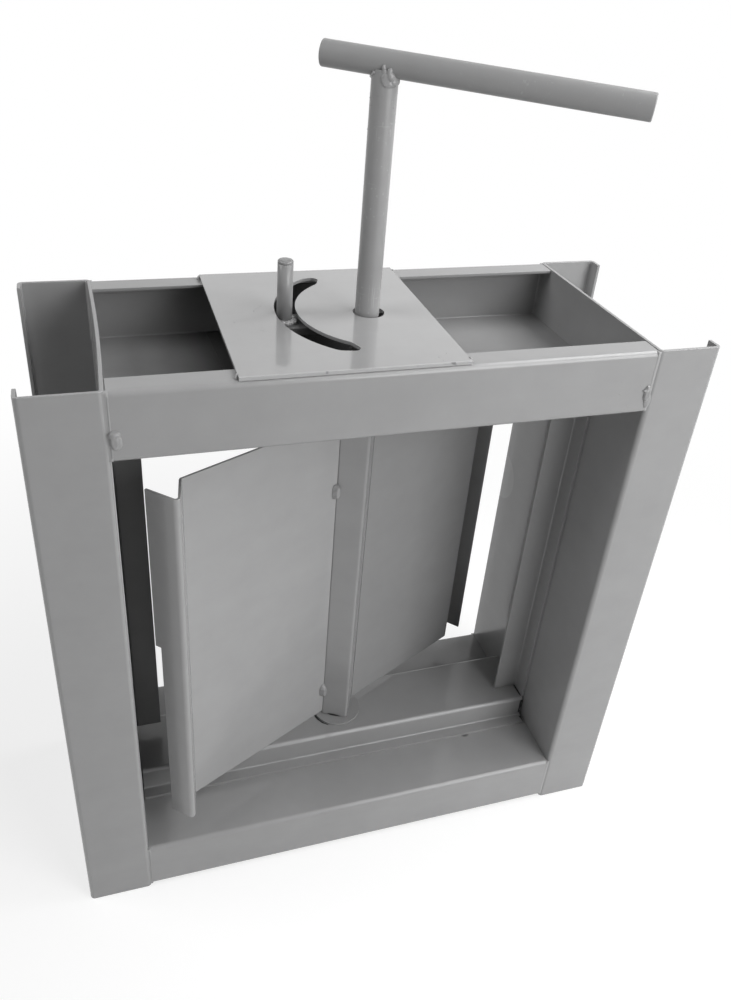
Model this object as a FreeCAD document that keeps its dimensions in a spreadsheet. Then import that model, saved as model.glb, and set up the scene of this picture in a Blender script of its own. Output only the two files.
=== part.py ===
import FreeCAD, Part
import math
import os
import Sketcher

Vector = FreeCAD.Vector

# Volume damper for a square duct, in millimetres.
# The frame is four channels of 2 mm sheet: two upright ones whose flanges
# bolt to the duct, and a top and a bottom one between them.
# A round shaft stands in the middle of the opening and carries a blade of
# two leaves. A bent-bar handle turns it, and a pin on a crank shows the
# position in a curved slot of the plate on top.
# Origin: where the shaft's axis meets the floor. X runs across the opening,
# Y along the air flow with the front at minus Y, Z up along the shaft.

SIZES = [
    # Frame
    ("opening_width", 300),
    ("frame_depth", 147),
    ("side_height", 385.4),
    ("sheet", 2),
    ("bend_radius", 1),
    ("side_flange", 41),
    ("side_lip", 10.3),
    ("cross_flange", 38.7),
    ("lip_drop", 0.4),
    ("bottom_rise", 1.9),
    ("cross_lip", 15.5),
    # Hat-shaped rails that stiffen the bottom and top channels
    ("rail_width", 50),
    ("rail_height", 20),
    ("rail_foot", 8.3),
    ("rail_end_gap", 1.5),
    # Stop angles that the blade's lips close on
    ("left_stop_leg", 18.3),
    ("right_stop_leg", 20),
    ("stop_back", 15),
    ("stop_short", 50),
    ("stop_face", 8.5),
    ("left_stop_rise", 9),
    # Plate with the curved slot
    ("plate_sheet", 2),
    ("plate_front_left_x", 87.5),
    ("plate_front_left_overhang", -1.5),
    ("plate_front_right_x", 35.8),
    ("plate_front_right_inset", 1.5),
    ("plate_rear_right_x", 37.9),
    ("plate_rear_right_inset", 3.2),
    ("plate_rear_left_x", 85.9),
    ("plate_rear_left_inset", 3.2),
    ("plate_hole", 18.2),
    ("plate_hole_x", 0.9),
    ("plate_hole_y", -0.4),
    ("slot_inner_x", 13.9),
    ("slot_inner_y", 2.3),
    ("slot_inner_radius", 54.4),
    ("slot_inner_front_end", 21),
    ("slot_inner_rear_end", 18),
    ("slot_outer_x", 14.2),
    ("slot_outer_y", 1.4),
    ("slot_outer_radius", 66.9),
    ("slot_outer_front_end", 30),
    ("slot_outer_rear_end", 24),
    ("slot_front_tip_x", 16),
    ("slot_front_tip_y", 51.5),
    ("slot_rear_tip_x", 13.5),
    ("slot_rear_tip_y", 57.8),
    ("slot_tip_round", 3.5),
    ("slot_shoulder_round", 8),
    # Flanged bushes
    ("bush_sleeve", 20),
    ("bush_flange", 36),
    ("bush_flange_height", 2),
    ("bush_seat_fit", 0.05),
    ("running_fit", 0.05),
    ("thrust_gap", 0.3),
    # Shaft, handle, crank and index pin
    ("shaft_diameter", 14),
    ("shaft_stub", 5),
    ("shaft_chamfer", 1),
    ("handle_rise", 131.6),
    ("handle_diameter", 13.2),
    ("handle_short_arm", 33.6),
    ("handle_long_arm", 131.7),
    ("handle_angle", -34),
    ("handle_slope", 2.4),
    ("handle_weld_radius", 9),
    ("handle_weld_drop", 4),
    ("cope_gap", 0.05),
    ("cope_rise", 4),
    ("crank_angle", 175.6),
    ("crank_width", 20),
    ("crank_sheet", 4),
    ("crank_gap", 3),
    ("crank_tail", 12),
    ("crank_nose", 7),
    ("crank_fit", 0.1),
    ("pin_radius", 47.9),
    ("pin_diameter", 8.8),
    ("pin_length", 35.7),
    ("pin_chamfer", 1),
    # Blade
    ("blade_angle", 26),
    ("tube_width", 20),
    ("tube_wall", 2.8),
    ("tube_corner", 2),
    ("tube_angle", 37),
    ("tube_head_gap", 2.3),
    ("leaf_sheet", 1.5),
    ("leaf_bend", 1.2),
    ("leaf_offset", 2),
    ("leaf_root", 13.3),
    ("leaf_foot_gap", 5),
    ("leaf_head_gap", 5),
    ("left_fold_x", 127.9),
    ("left_tip_x", 140),
    ("left_tip_y", 15.5),
    ("left_end_x", 147.5),
    ("left_end_y", 4.6),
    ("left_step_rise", 146),
    ("left_step_depth", 3.8),
    ("right_fold_x", 122),
    ("right_tip_x", 134.1),
    ("right_tip_y", 15.5),
    ("right_end_x", 139.8),
    ("right_end_y", 2.3),
    # Weld beads
    ("frame_bead_level", 13),
    ("frame_bead_inset", 2),
    ("frame_bead_width", 3),
    ("frame_bead_height", 6),
    ("frame_bead_root", 1.5),
    ("frame_bead_proud", 1.4),
    ("ring_bead_leg", 4),
    ("pin_bead_leg", 2.6),
    ("tube_bead_leg", 1.8),
    ("tack_width", 3.5),
    ("tack_height", 6),
    ("tack_out", 1.2),
    ("tack_rise", 4),
    ("tack_from_foot", 23),
    ("tack_from_head", 54),
    ("plate_bead", 2),
    ("plate_bead_proud", 0.4),
    ("plate_bead_inset", 5.5),
]

doc = FreeCAD.newDocument("VolumeDamper")
sheet = doc.addObject("Spreadsheet::Sheet", "Sizes")
for row, (alias, number) in enumerate(SIZES, 1):
    sheet.set("A%d" % row, alias)
    sheet.set("B%d" % row, str(number))
    sheet.setAlias("B%d" % row, alias)
doc.recompute()

NAMES = sorted((alias for alias, number in SIZES), key=len, reverse=True)
pieces = []


# Expressions: the size names are written plainly and get the sheet's name here

def bound(text):
    """The expression with each size name pointing into the sheet."""
    out, word = "", ""
    for letter in str(text) + " ":
        if letter.isalnum() or letter == "_":
            word += letter
            continue
        out += "Sizes." + word if word in NAMES else word
        out += letter
        word = ""
    return out.strip()


def value(text):
    """The number that an expression gives at the present sizes."""
    return float(sheet.evalExpression(bound(text)))


# Levels that several pieces share, from the floor up

SILL = "(bottom_rise + cross_flange)"
HEAD = "(side_height - lip_drop - cross_flange)"
LIP_TOP = HEAD + " + cross_flange"
PLATE_TOP = LIP_TOP + " + plate_sheet"
RAIL_TOP = SILL + " + rail_height"
TOP_RAIL_FACE = HEAD + " - rail_height"
TUBE_FOOT = RAIL_TOP + " + bush_flange_height + thrust_gap"
TUBE_HEAD = TOP_RAIL_FACE + " - tube_head_gap"
LEAF_FOOT = RAIL_TOP + " + leaf_foot_gap"
LEAF_HEAD = TOP_RAIL_FACE + " - leaf_head_gap"
CRANK_TOP = LIP_TOP + " - crank_gap"
CRANK_FOOT = CRANK_TOP + " - crank_sheet"
SHAFT_FOOT = SILL + " - sheet - shaft_stub"
HANDLE = "(%s + handle_rise)" % PLATE_TOP
STOP_LENGTH = "%s - %s - stop_short" % (HEAD, SILL)


# Sketch helpers

def new_body(label):
    body = doc.addObject("PartDesign::Body", label)
    body.Label = label
    pieces.append(body)
    return body


def sketch_on(body, name, role, level="0"):
    """A sketch on one of the body's own planes, moved along its normal."""
    sketch = body.newObject("Sketcher::SketchObject", name)
    plane = [f for f in body.Origin.OriginFeatures if f.Role == role][0]
    sketch.AttachmentSupport = (plane, [""])
    sketch.MapMode = "FlatFace"
    sketch.setExpression("AttachmentOffset.Base.z", bound(level))
    return sketch


def place_point(sketch, line, end, x, y):
    """Ties one end of a line to its place, written as two expressions."""
    for kind, text, axis in (("DistanceX", x, -2), ("DistanceY", y, -1)):
        here = value(text)
        if abs(here) < 1e-9:
            sketch.addConstraint(Sketcher.Constraint("PointOnObject", line, end, axis))
            continue
        index = sketch.addConstraint(Sketcher.Constraint(kind, -1, 1, line, end, here))
        sketch.setExpression("Constraints[%d]" % index, bound(text))


def outline(body, name, role, points, level="0"):
    """A closed sketch of straight lines through the given points."""
    sketch = sketch_on(body, name, role, level)
    spots = [Vector(value(x), value(y), 0) for x, y in points]
    count = len(spots)
    for i in range(count):
        sketch.addGeometry(Part.LineSegment(spots[i], spots[(i + 1) % count]), False)
    for i in range(count):
        sketch.addConstraint(Sketcher.Constraint("Coincident", i, 2, (i + 1) % count, 1))
        place_point(sketch, i, 1, *points[i])
    return sketch


def mitres(spots, half):
    """The corner points of a band of the given half width beside a line."""
    out = []
    for i, spot in enumerate(spots):
        legs = []
        if i > 0:
            legs.append((spot - spots[i - 1]).normalize())
        if i < len(spots) - 1:
            legs.append((spots[i + 1] - spot).normalize())
        sides = [Vector(-leg.y, leg.x, 0) for leg in legs]
        if len(sides) == 1:
            out.append(spot + sides[0] * half)
        else:
            both = sides[0] + sides[1]
            out.append(spot + both * (half / (1 + sides[0].dot(sides[1]))))
    return out


def bent_sheet(body, name, role, path, thickness, level="0"):
    """The section of a bent sheet: its centre line is construction geometry
    through the given points, and the outline keeps half a thickness from it."""
    sketch = sketch_on(body, name, role, level)
    spots = [Vector(value(x), value(y), 0) for x, y in path]
    legs = len(spots) - 1
    for i in range(legs):
        sketch.addGeometry(Part.LineSegment(spots[i], spots[i + 1]), True)
        place_point(sketch, i, 1, *path[i])
        if i:
            sketch.addConstraint(Sketcher.Constraint("Coincident", i - 1, 2, i, 1))
    place_point(sketch, legs - 1, 2, *path[-1])
    half = value(thickness) / 2
    first = {}
    for side in (1, -1):
        edge = mitres(spots, half * side)
        first[side] = sketch.GeometryCount
        for i in range(legs):
            line = sketch.addGeometry(Part.LineSegment(edge[i], edge[i + 1]), False)
            sketch.addConstraint(Sketcher.Constraint("Parallel", line, i))
            index = sketch.addConstraint(Sketcher.Constraint("Distance", line, 1, i, half))
            sketch.setExpression("Constraints[%d]" % index, bound(thickness + " / 2"))
            if i:
                sketch.addConstraint(Sketcher.Constraint("Coincident", line - 1, 2, line, 1))
    for leg, end, spot in ((0, 1, 0), (legs - 1, 2, -1)):
        a = mitres(spots, half)[spot]
        b = mitres(spots, -half)[spot]
        cap = sketch.addGeometry(Part.LineSegment(a, b), False)
        sketch.addConstraint(Sketcher.Constraint("Coincident", cap, 1, first[1] + leg, end))
        sketch.addConstraint(Sketcher.Constraint("Coincident", cap, 2, first[-1] + leg, end))
        sketch.addConstraint(Sketcher.Constraint("Perpendicular", cap, leg))
        sketch.addConstraint(Sketcher.Constraint("PointOnObject", leg, end, cap))
    return sketch


def ring_sketch(body, name, role, diameter, x="0", y="0", level="0"):
    """A sketch with one circle."""
    sketch = sketch_on(body, name, role, level)
    centre = Vector(value(x), value(y), 0)
    sketch.addGeometry(Part.Circle(centre, Vector(0, 0, 1), value(diameter) / 2), False)
    place_point(sketch, 0, 3, x, y)
    index = sketch.addConstraint(Sketcher.Constraint("Diameter", 0, value(diameter)))
    sketch.setExpression("Constraints[%d]" % index, bound(diameter))
    return sketch


# Feature helpers

def pad(body, sketch, length):
    feature = body.newObject("PartDesign::Pad", sketch.Name + "_pad")
    feature.Profile = sketch
    feature.setExpression("Length", bound(length))
    body.Tip = feature
    doc.recompute()
    return feature


def cut_up(body, sketch):
    """Cuts the sketch through everything above its plane."""
    before = body.Shape.Volume
    feature = body.newObject("PartDesign::Pocket", sketch.Name + "_cut")
    feature.Profile = sketch
    feature.Type = "ThroughAll"
    feature.Reversed = True
    body.Tip = feature
    doc.recompute()
    if body.Shape.Volume > before - 1e-3:
        raise RuntimeError("%s removes nothing" % feature.Name)
    return feature


def revolve(body, sketch, axis="V_Axis", kind="Revolution"):
    """Turns the sketch about one of its lines; kind Groove takes that away."""
    feature = body.newObject("PartDesign::" + kind, sketch.Name + "_turned")
    feature.Profile = sketch
    feature.ReferenceAxis = (sketch, [axis])
    feature.Angle = 360
    body.Tip = feature
    doc.recompute()
    return feature


def edges_at(shape, spots, direction):
    """Names of the straight edges that run along a direction through spots."""
    names = []
    for number, edge in enumerate(shape.Edges, 1):
        if edge.Curve.TypeId != "Part::GeomLine":
            continue
        ends = [v.Point for v in edge.Vertexes]
        run = ends[1] - ends[0]
        if run.cross(direction).Length > 1e-6 * run.Length:
            continue
        for spot in spots:
            if (ends[0] - spot).cross(direction).Length < 1e-4:
                names.append("Edge%d" % number)
                break
    return names


def round_edges(body, name, names, radius):
    solid = body.Tip
    feature = body.newObject("PartDesign::Fillet", name)
    feature.Base = (solid, names)
    feature.setExpression("Radius", bound(radius))
    body.Tip = feature
    doc.recompute()
    return feature


def round_bends(body, sketch, path, thickness, inside):
    """Rounds each bend of a sheet: a small radius inside, one that is
    larger by the thickness outside."""
    spots = [Vector(value(x), value(y), 0) for x, y in path]
    half = value(thickness) / 2
    left, right = mitres(spots, half), mitres(spots, -half)
    place = sketch.Placement
    direction = place.Rotation.multVec(Vector(0, 0, 1))
    inner, outer = [], []
    for i in range(1, len(spots) - 1):
        turn = (spots[i] - spots[i - 1]).cross(spots[i + 1] - spots[i]).z
        inner.append(place.multVec(left[i] if turn > 0 else right[i]))
        outer.append(place.multVec(right[i] if turn > 0 else left[i]))
    shape = body.Tip.Shape
    round_edges(body, sketch.Name + "_inner_bends", edges_at(shape, inner, direction), inside)
    shape = body.Tip.Shape
    round_edges(body, sketch.Name + "_outer_bends", edges_at(shape, outer, direction),
                "%s + %s" % (inside, thickness))


def turn_about_shaft(body, angle):
    body.setExpression("Placement.Rotation.Angle", bound(angle))


# Frame

def side_channel(label, side):
    """Upright channel with its back to the opening and lips on its flanges.
    side is 1 on the right and -1 on the left."""
    body = new_body(label)
    back = "%d * (opening_width / 2 + sheet / 2)" % side
    outer = "%d * (opening_width / 2 + side_flange - sheet / 2)" % side
    face = "frame_depth / 2 - sheet / 2"
    lip = "frame_depth / 2 - side_lip"
    path = [(outer, "-(%s)" % lip), (outer, "-(%s)" % face), (back, "-(%s)" % face),
            (back, face), (outer, face), (outer, lip)]
    section = bent_sheet(body, label + "_section", "XY_Plane", path, "sheet")
    pad(body, section, "side_height")
    round_bends(body, section, path, "sheet", "bend_radius")


def cross_channel(label, web, way):
    """Channel between the uprights: web is the level of the face towards the
    opening, and way is 1 where its flanges rise and -1 where they hang."""
    body = new_body(label)
    middle = "%s + %d * sheet / 2" % (web, way)
    edge = "%s + %d * (cross_flange - sheet / 2)" % (web, way)
    face = "frame_depth / 2 - sheet / 2"
    lip = "frame_depth / 2 - cross_lip"
    path = [("-(%s)" % lip, edge), ("-(%s)" % face, edge), ("-(%s)" % face, middle),
            (face, middle), (face, edge), (lip, edge)]
    section = bent_sheet(body, label + "_section", "YZ_Plane", path, "sheet",
                         "-opening_width / 2")
    pad(body, section, "opening_width")
    round_bends(body, section, path, "sheet", "bend_radius")
    hole = ring_sketch(body, label + "_bush_hole", "XY_Plane",
                       "bush_sleeve + 2 * bush_seat_fit")
    cut_up(body, hole)


def hat_rail(label, web, way):
    """Hat-shaped rail lying on a channel's web, with a hole for the bush."""
    body = new_body(label)
    half = "rail_width / 2 - sheet / 2"
    foot = "rail_width / 2 + rail_foot"
    low = "%s + %d * sheet / 2" % (web, way)
    high = "%s + %d * (rail_height - sheet / 2)" % (web, way)
    path = [("-(%s)" % foot, low), ("-(%s)" % half, low), ("-(%s)" % half, high),
            (half, high), (half, low), (foot, low)]
    section = bent_sheet(body, label + "_section", "YZ_Plane", path, "sheet",
                         "-opening_width / 2 + rail_end_gap")
    pad(body, section, "opening_width - 2 * rail_end_gap")
    round_bends(body, section, path, "sheet", "bend_radius")
    hole = ring_sketch(body, label + "_bush_hole", "XY_Plane",
                       "bush_sleeve + 2 * bush_seat_fit")
    cut_up(body, hole)


def stop_angle(label, side, nose_leg, foot):
    """Angle on the side wall whose long leg stops the blade's lip."""
    body = new_body(label)
    back = "%d * (opening_width / 2 - sheet / 2)" % side
    nose = "%d * (opening_width / 2 - %s)" % (side, nose_leg)
    leg = "%d * (stop_face + sheet / 2)" % -side
    heel = "%d * (stop_face + stop_back)" % -side
    path = [(nose, leg), (back, leg), (back, heel)]
    section = bent_sheet(body, label + "_section", "XY_Plane", path, "sheet", foot)
    pad(body, section, STOP_LENGTH)
    round_bends(body, section, path, "sheet", "bend_radius")


def slotted_plate():
    """Hand-cut plate over the top channel with the shaft's hole and the
    curved slot of the index pin."""
    body = new_body("slotted_plate")
    corners = [("-plate_front_left_x", "-frame_depth / 2 - plate_front_left_overhang"),
               ("plate_front_right_x", "-frame_depth / 2 + plate_front_right_inset"),
               ("plate_rear_right_x", "frame_depth / 2 - plate_rear_right_inset"),
               ("-plate_rear_left_x", "frame_depth / 2 - plate_rear_left_inset")]
    blank = outline(body, "plate_blank", "XY_Plane", corners, LIP_TOP)
    pad(body, blank, "plate_sheet")
    cut_up(body, ring_sketch(body, "plate_shaft_hole", "XY_Plane", "plate_hole",
                             "plate_hole_x", "plate_hole_y"))
    slot, tips, shoulders = index_slot(body)
    cut_up(body, slot)
    for spots, name in ((tips, "slot_tip_round"), (shoulders, "slot_shoulder_round")):
        edges = edges_at(body.Tip.Shape, spots, Vector(0, 0, 1))
        round_edges(body, "plate_" + name, edges, name)


def index_slot(body):
    """Two arcs about different centres and a point at each end. Gives the
    sketch and its corners: the two points and the four ends of the arcs."""
    sketch = sketch_on(body, "plate_slot", "XY_Plane")
    arcs, tips, shoulders = {}, [], []
    for name in ("outer", "inner"):
        x, y = value("slot_%s_x" % name), value("slot_%s_y" % name)
        radius = value("slot_%s_radius" % name)
        rear = math.acos((value("-slot_%s_rear_end" % name) - x) / radius)
        front = -math.acos((value("-slot_%s_front_end" % name) - x) / radius)
        circle = Part.Circle(Vector(x, y, 0), Vector(0, 0, 1), radius)
        arc = sketch.addGeometry(Part.ArcOfCircle(circle, rear, front + 2 * math.pi), False)
        place_point(sketch, arc, 3, "slot_%s_x" % name, "slot_%s_y" % name)
        index = sketch.addConstraint(Sketcher.Constraint("Radius", arc, radius))
        sketch.setExpression("Constraints[%d]" % index, bound("slot_%s_radius" % name))
        for end, way in ((1, "rear"), (2, "front")):
            text = "-slot_%s_%s_end" % (name, way)
            index = sketch.addConstraint(
                Sketcher.Constraint("DistanceX", -1, 1, arc, end, value(text)))
            sketch.setExpression("Constraints[%d]" % index, bound(text))
        arcs[name] = arc
    for end, way, sign in ((1, "rear", ""), (2, "front", "-")):
        x, y = "-slot_%s_tip_x" % way, "%sslot_%s_tip_y" % (sign, way)
        spot = Vector(value(x), value(y), 0)
        lines = []
        for name in ("outer", "inner"):
            curve = sketch.Geometry[arcs[name]]
            start = curve.StartPoint if end == 1 else curve.EndPoint
            line = sketch.addGeometry(Part.LineSegment(start, spot), False)
            sketch.addConstraint(Sketcher.Constraint("Coincident", line, 1, arcs[name], end))
            lines.append(line)
            shoulders.append(start)
        sketch.addConstraint(Sketcher.Constraint("Coincident", lines[0], 2, lines[1], 2))
        place_point(sketch, lines[0], 2, x, y)
        tips.append(spot)
    return sketch, tips, shoulders


def flanged_bush(label, flange_foot, sleeve_foot):
    """Sleeve through rail and web with a round flange that carries it."""
    body = new_body(label)
    bore = "shaft_diameter / 2 + running_fit"
    top = flange_foot + " + bush_flange_height"
    points = [(bore, sleeve_foot), ("bush_sleeve / 2", sleeve_foot),
              ("bush_sleeve / 2", flange_foot), ("bush_flange / 2", flange_foot),
              ("bush_flange / 2", top), (bore, top)]
    section = outline(body, label + "_section", "XZ_Plane", points)
    revolve(body, section)


# Moving pieces: shaft, handle and crank

def shaft():
    """Round bar, chamfered at the foot and coped to the handle at the top."""
    body = new_body("shaft")
    head = HANDLE + " - handle_diameter / 2 + cope_rise"
    points = [("0", SHAFT_FOOT),
              ("shaft_diameter / 2 - shaft_chamfer", SHAFT_FOOT),
              ("shaft_diameter / 2", SHAFT_FOOT + " + shaft_chamfer"),
              ("shaft_diameter / 2", head), ("0", head)]
    section = outline(body, "shaft_section", "XZ_Plane", points)
    revolve(body, section)
    cope = bar_section(body, "shaft_cope", "(handle_diameter / 2 + cope_gap)",
                       "shaft_diameter")
    revolve(body, cope, "Edge1", "Groove")
    turn_about_shaft(body, "handle_angle")


def bar_section(body, name, radius, short_arm, long_arm=""):
    """Half the section of the bar: a strip above the bar's axis, which
    slopes down along the long arm."""
    run = "cos(handle_slope * 1 deg)"
    fall = "sin(handle_slope * 1 deg)"
    ends = [("-%s * %s" % (short_arm, run), "%s + %s * %s" % (HANDLE, short_arm, fall)),
            ("%s * %s" % (long_arm or short_arm, run),
             "%s - %s * %s" % (HANDLE, long_arm or short_arm, fall))]
    upper = [("%s + %s * %s" % (x, radius, fall), "%s + %s * %s" % (z, radius, run))
             for x, z in ends]
    return outline(body, name, "XZ_Plane", [ends[0], ends[1], upper[1], upper[0]])


def handle_bar():
    """Straight round bar across the shaft's top, a long and a short arm."""
    body = new_body("handle_bar")
    section = bar_section(body, "handle_section", "handle_diameter / 2",
                          "handle_short_arm", "handle_long_arm")
    revolve(body, section, "Edge1")
    turn_about_shaft(body, "handle_angle")


def crank_arm():
    """Flat bar on the shaft under the plate, carrying the index pin."""
    body = new_body("crank_arm")
    points = [("-crank_tail", "-crank_width / 2"),
              ("pin_radius + crank_nose", "-crank_width / 2"),
              ("pin_radius + crank_nose", "crank_width / 2"),
              ("-crank_tail", "crank_width / 2")]
    blank = outline(body, "crank_blank", "XY_Plane", points, CRANK_FOOT)
    pad(body, blank, "crank_sheet")
    cut_up(body, ring_sketch(body, "crank_hole", "XY_Plane",
                             "shaft_diameter + 2 * crank_fit"))
    turn_about_shaft(body, "crank_angle")


def index_pin():
    """Chamfered pin that stands on the crank and rises through the slot."""
    body = new_body("index_pin")
    section = ring_sketch(body, "pin_section", "XY_Plane", "pin_diameter",
                          "pin_radius", "0", CRANK_TOP)
    pad(body, section, "pin_length")
    top = value(CRANK_TOP + " + pin_length")
    rims = ["Edge%d" % (i + 1) for i, edge in enumerate(body.Shape.Edges)
            if edge.Closed and abs(edge.CenterOfMass.z - top) < 1e-4]
    solid = body.Tip
    feature = body.newObject("PartDesign::Chamfer", "pin_chamfered")
    feature.Base = (solid, rims)
    feature.setExpression("Size", bound("pin_chamfer"))
    body.Tip = feature
    turn_about_shaft(body, "crank_angle")


# Blade

def blade_tube():
    """Square tube round the shaft, standing on the lower bush's flange."""
    body = new_body("blade_tube")
    half = value("tube_width / 2")
    bore = value("tube_width / 2 - tube_wall")
    corners = ((-1, -1), (1, -1), (1, 1), (-1, 1))
    points = [("%d * tube_width / 2" % a, "%d * tube_width / 2" % b) for a, b in corners]
    section = outline(body, "tube_outside", "XY_Plane", points, TUBE_FOOT)
    pad(body, section, "%s - (%s)" % (TUBE_HEAD, TUBE_FOOT))
    points = [("%d * (tube_width / 2 - tube_wall)" % a,
               "%d * (tube_width / 2 - tube_wall)" % b) for a, b in corners]
    cut_up(body, outline(body, "tube_inside", "XY_Plane", points))
    upright = Vector(0, 0, 1)
    spots = [Vector(a * half, b * half, 0) for a, b in corners]
    round_edges(body, "tube_corners", edges_at(body.Tip.Shape, spots, upright),
                "tube_corner")
    turn_about_shaft(body, "blade_angle + tube_angle")


def leaf(label, side, turn):
    """Half of the blade: a flat sheet from the tube outwards, folded over its
    whole height into a V. Drawn as the left leaf and turned into its place."""
    body = new_body(label)
    path = [("-leaf_root", "leaf_offset"), ("-%s_fold_x" % side, "leaf_offset"),
            ("-%s_tip_x" % side, "-%s_tip_y" % side),
            ("-%s_end_x" % side, "%s_end_y" % side)]
    section = bent_sheet(body, label + "_section", "XY_Plane", path, "leaf_sheet",
                         LEAF_FOOT)
    pad(body, section, "%s - (%s)" % (LEAF_HEAD, LEAF_FOOT))
    round_bends(body, section, path, "leaf_sheet", "leaf_bend")
    turn_about_shaft(body, turn)
    return body


def step_back(body):
    """Trims the free edge of the left leaf's lip over its lower part."""
    low, high = "left_end_y - left_step_depth", "left_end_y + 2 * leaf_sheet"
    foot, head = LEAF_FOOT + " - leaf_sheet", LEAF_FOOT + " + left_step_rise"
    points = [(low, foot), (high, foot), (high, head), (low, head)]
    before = body.Shape.Volume
    sketch = outline(body, "lip_step", "YZ_Plane", points, "-(left_fold_x + left_tip_x) / 2")
    feature = body.newObject("PartDesign::Pocket", "lip_step_cut")
    feature.Profile = sketch
    feature.Type = "ThroughAll"
    body.Tip = feature
    doc.recompute()
    if body.Shape.Volume > before - 1e-3:
        raise RuntimeError("the lip's step removes nothing")


# Weld beads: each keeps the form that the surfaces beneath it leave

def weld_ring(label, bar, leg, level, way, turn="0", reach="0"):
    """Fillet bead round a bar where it meets a flat face at a level."""
    body = new_body(label)
    inside = "%s / 2" % bar
    outside = "%s / 2 + %s" % (bar, leg)
    far = "%s + %d * %s" % (level, way, leg)
    points = [(inside, level), (outside, level), (inside, far)]
    section = outline(body, label + "_section", "XZ_Plane", points)
    revolve(body, section)
    put(body, reach, "0", "0", turn)


def put(piece, x, y, z, turn="0"):
    """Places a piece by x, y in a plane that is itself turned about the shaft."""
    angle = "(%s) * 1 deg" % turn
    along = "(%s) * cos(%s) - (%s) * sin(%s)" % (x, angle, y, angle)
    across = "(%s) * sin(%s) + (%s) * cos(%s)" % (x, angle, y, angle)
    piece.setExpression("Placement.Base.x", bound(along))
    piece.setExpression("Placement.Base.y", bound(across))
    piece.setExpression("Placement.Base.z", bound(z))
    turn_about_shaft(piece, turn)


def bead(name, role, half_width, half_height, foot, rise):
    """A drop of weld metal: an eight-sided form that draws in as it rises
    from its foot along the plane's normal."""
    drop = doc.addObject("PartDesign::Body", name)
    corners = [(a, b) for a, b in ((1, 0.5), (0.5, 1), (-0.5, 1), (-1, 0.5),
                                   (-1, -0.5), (-0.5, -1), (0.5, -1), (1, -0.5))]
    points = [("%s * (%s)" % (a, half_width), "%s * (%s)" % (b, half_height))
              for a, b in corners]
    section = outline(drop, name + "_foot", role, points, foot)
    feature = pad(drop, section, rise)
    feature.TaperAngle = -30
    return drop


def trimmed(label, drops, carriers):
    """The group of drops with the carrying pieces cut out of it."""
    tools = [piece for piece in pieces if piece.Label in carriers]
    last = doc.addObject("Part::Compound", label + "_drops")
    last.Links = drops
    for number, tool in enumerate(tools):
        cut = doc.addObject("Part::Cut", "%s_%d" % (label, number))
        cut.Base = last
        cut.Tool = tool
        last = cut
    doc.recompute()
    last.Label = label
    pieces.append(last)


def frame_welds():
    """Beads in the grooves between top channel and side channels, front and
    rear. The plane's normal points to the front."""
    drops = []
    for side in (-1, 1):
        for face, turn in ((-1, "0"), (1, "180")):
            drop = bead("frame_bead_%d" % len(drops), "XZ_Plane", "frame_bead_width",
                        "frame_bead_height", "frame_depth / 2 - frame_bead_root",
                        "frame_bead_root + frame_bead_proud")
            put(drop, "%d * (opening_width / 2 - frame_bead_inset)" % (-side * face), "0",
                HEAD + " + frame_bead_level", turn)
            drops.append(drop)
    trimmed("frame_welds", drops,
            ("left_side_channel", "right_side_channel", "top_channel"))


def plate_welds():
    """Small beads that hold the plate's corners to the channel's lips."""
    corners = [("plate_front_right_x", "-(frame_depth / 2 - plate_bead_inset)"),
               ("plate_rear_right_x", "frame_depth / 2 - 1.5 * plate_bead_inset"),
               ("-plate_front_left_x", "-(frame_depth / 2 - plate_bead_inset)"),
               ("-plate_rear_left_x", "frame_depth / 2 - plate_bead_inset")]
    drops = []
    for x, y in corners:
        drop = bead("plate_bead_%d" % len(drops), "XY_Plane", "plate_bead",
                    "plate_bead", LIP_TOP, "plate_sheet + plate_bead_proud")
        put(drop, x, y, "0")
        drops.append(drop)
    trimmed("plate_welds", drops, ("slotted_plate",))


def leaf_welds():
    """Tack welds, low and high, where each leaf meets the tube's corner."""
    drops = []
    for side, turn in ((-1, "blade_angle"), (1, "blade_angle + 180")):
        for level in (LEAF_FOOT + " + tack_from_foot", LEAF_HEAD + " - tack_from_head"):
            drop = bead("leaf_bead_%d" % len(drops), "XZ_Plane", "tack_width",
                        "tack_height", "-leaf_offset", "tack_rise")
            put(drop, "-leaf_root - tack_out", "0", level, turn)
            drops.append(drop)
    trimmed("leaf_welds", drops, ("left_leaf", "right_leaf", "blade_tube"))


def handle_weld():
    """Collar of weld metal between the shaft's top and the bar."""
    collar = doc.addObject("Part::Cone", "handle_collar")
    collar.setExpression("Radius1", bound("shaft_diameter / 2 + 0.4"))
    collar.setExpression("Radius2", bound("handle_weld_radius"))
    collar.setExpression("Height", bound("handle_weld_drop + handle_diameter / 2 - 2"))
    collar.setExpression("Placement.Base.z",
                         bound(HANDLE + " - handle_diameter / 2 - handle_weld_drop"))
    trimmed("handle_weld", [collar], ("shaft", "handle_bar"))


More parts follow.
